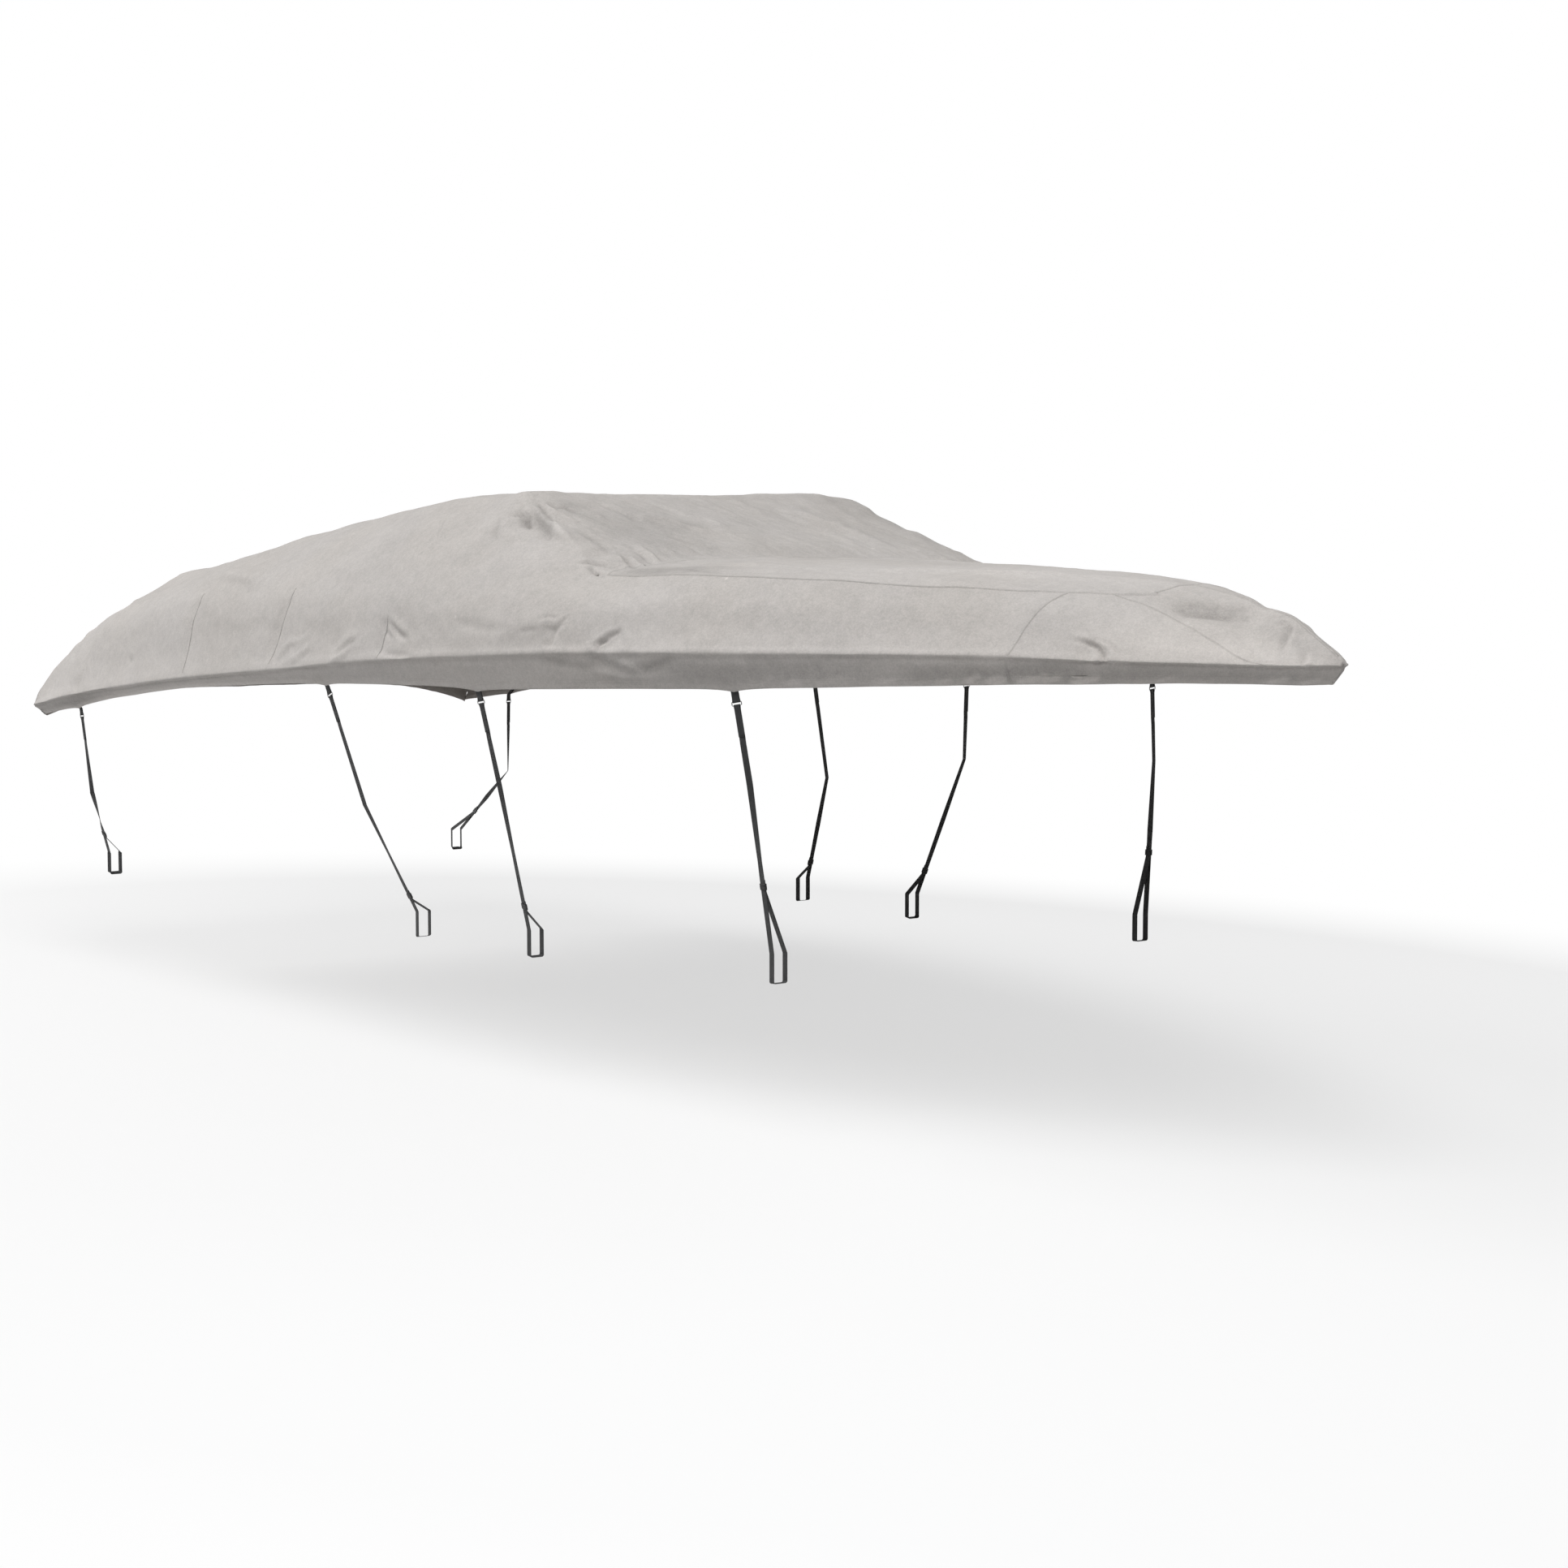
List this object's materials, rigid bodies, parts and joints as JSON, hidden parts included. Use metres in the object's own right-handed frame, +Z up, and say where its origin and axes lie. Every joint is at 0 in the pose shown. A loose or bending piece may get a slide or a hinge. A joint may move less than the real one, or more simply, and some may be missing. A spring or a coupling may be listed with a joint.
{
  "type": "boat cover",
  "caption": "Fitted grey cloth cover for a trailered runabout, drawn over its windshield and foredeck, with black webbing tie-down straps",
  "frame": {"origin": "under the cloth at the middle of the cockpit's top, 3.40 m aft of the bow tip, where the boat holds it up", "axes": "+X towards the bow, +Y to port, +Z up"},
  "size_m": [6.7999, 2.4433, 1.688],
  "materials": {
    "cover_cloth": "woven, matt, light warm grey",
    "strap_webbing": "flat black webbing",
    "buckle_plastic": "black moulded plastic",
    "ring_wire": "dull bent wire"
  },
  "bodies": {
    "root": {"main_panel": "cover_cloth", "foredeck_panel": "cover_cloth", "bow_side_starboard": "cover_cloth", "bow_side_port": "cover_cloth", "tab_bow_starboard": "strap_webbing", "tab_bow_port": "strap_webbing", "tab_fore_starboard": "strap_webbing", "tab_fore_port": "strap_webbing", "tab_aft_starboard": "strap_webbing", "tab_aft_port": "strap_webbing", "tab_stern_starboard": "strap_webbing", "tab_stern_port": "strap_webbing", "strap_bow_starboard": "strap_webbing", "strap_bow_port": "strap_webbing", "strap_fore_starboard": "strap_webbing", "strap_fore_port": "strap_webbing", "strap_aft_starboard": "strap_webbing", "strap_aft_port": "strap_webbing", "strap_stern_starboard": "strap_webbing", "strap_stern_port": "strap_webbing", "buckle_bow_starboard": "buckle_plastic", "buckle_bow_port": "buckle_plastic", "buckle_fore_starboard": "buckle_plastic", "buckle_fore_port": "buckle_plastic", "buckle_aft_starboard": "buckle_plastic", "buckle_aft_port": "buckle_plastic", "buckle_stern_starboard": "buckle_plastic", "buckle_stern_port": "buckle_plastic", "ring_bow_starboard": "ring_wire", "ring_bow_port": "ring_wire", "ring_fore_starboard": "ring_wire", "ring_fore_port": "ring_wire", "ring_aft_starboard": "ring_wire", "ring_aft_port": "ring_wire", "ring_stern_starboard": "ring_wire", "ring_stern_port": "ring_wire"}
  },
  "joints": []
}
